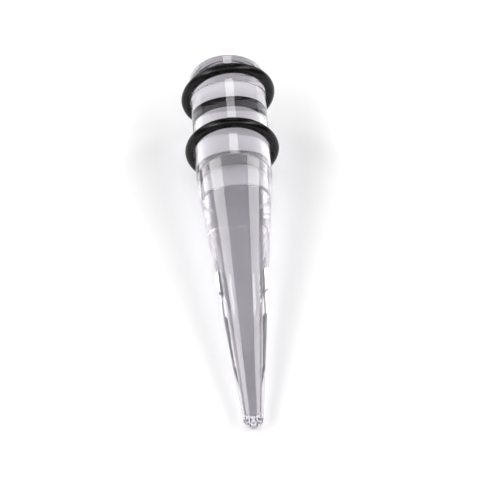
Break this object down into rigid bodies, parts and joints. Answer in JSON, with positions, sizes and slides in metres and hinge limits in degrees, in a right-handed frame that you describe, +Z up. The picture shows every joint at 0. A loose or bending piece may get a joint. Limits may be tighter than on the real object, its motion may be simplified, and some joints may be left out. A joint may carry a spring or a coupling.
{
  "type": "ear stretching taper",
  "caption": "Clear acrylic ear stretching taper: a straight shank gripped by black rubber rings, a long cone and a rounded tip, lying on its front ring and its tip.",
  "frame": {"origin": "centre of the box's footprint on the surface it lies on", "axes": "+Z up, +Y from the tip towards the rear face, +X across; the rod's axis dips 6.02 degrees towards the tip"},
  "size_m": [0.0124, 0.0602, 0.0134],
  "materials": {
    "clear_acrylic": "polished, clear",
    "black_rubber": "smooth moulded, slight sheen"
  },
  "bodies": {
    "root": {"taper_rod": "clear_acrylic", "front_o_ring": "black_rubber", "rear_o_ring": "black_rubber"}
  },
  "joints": []
}
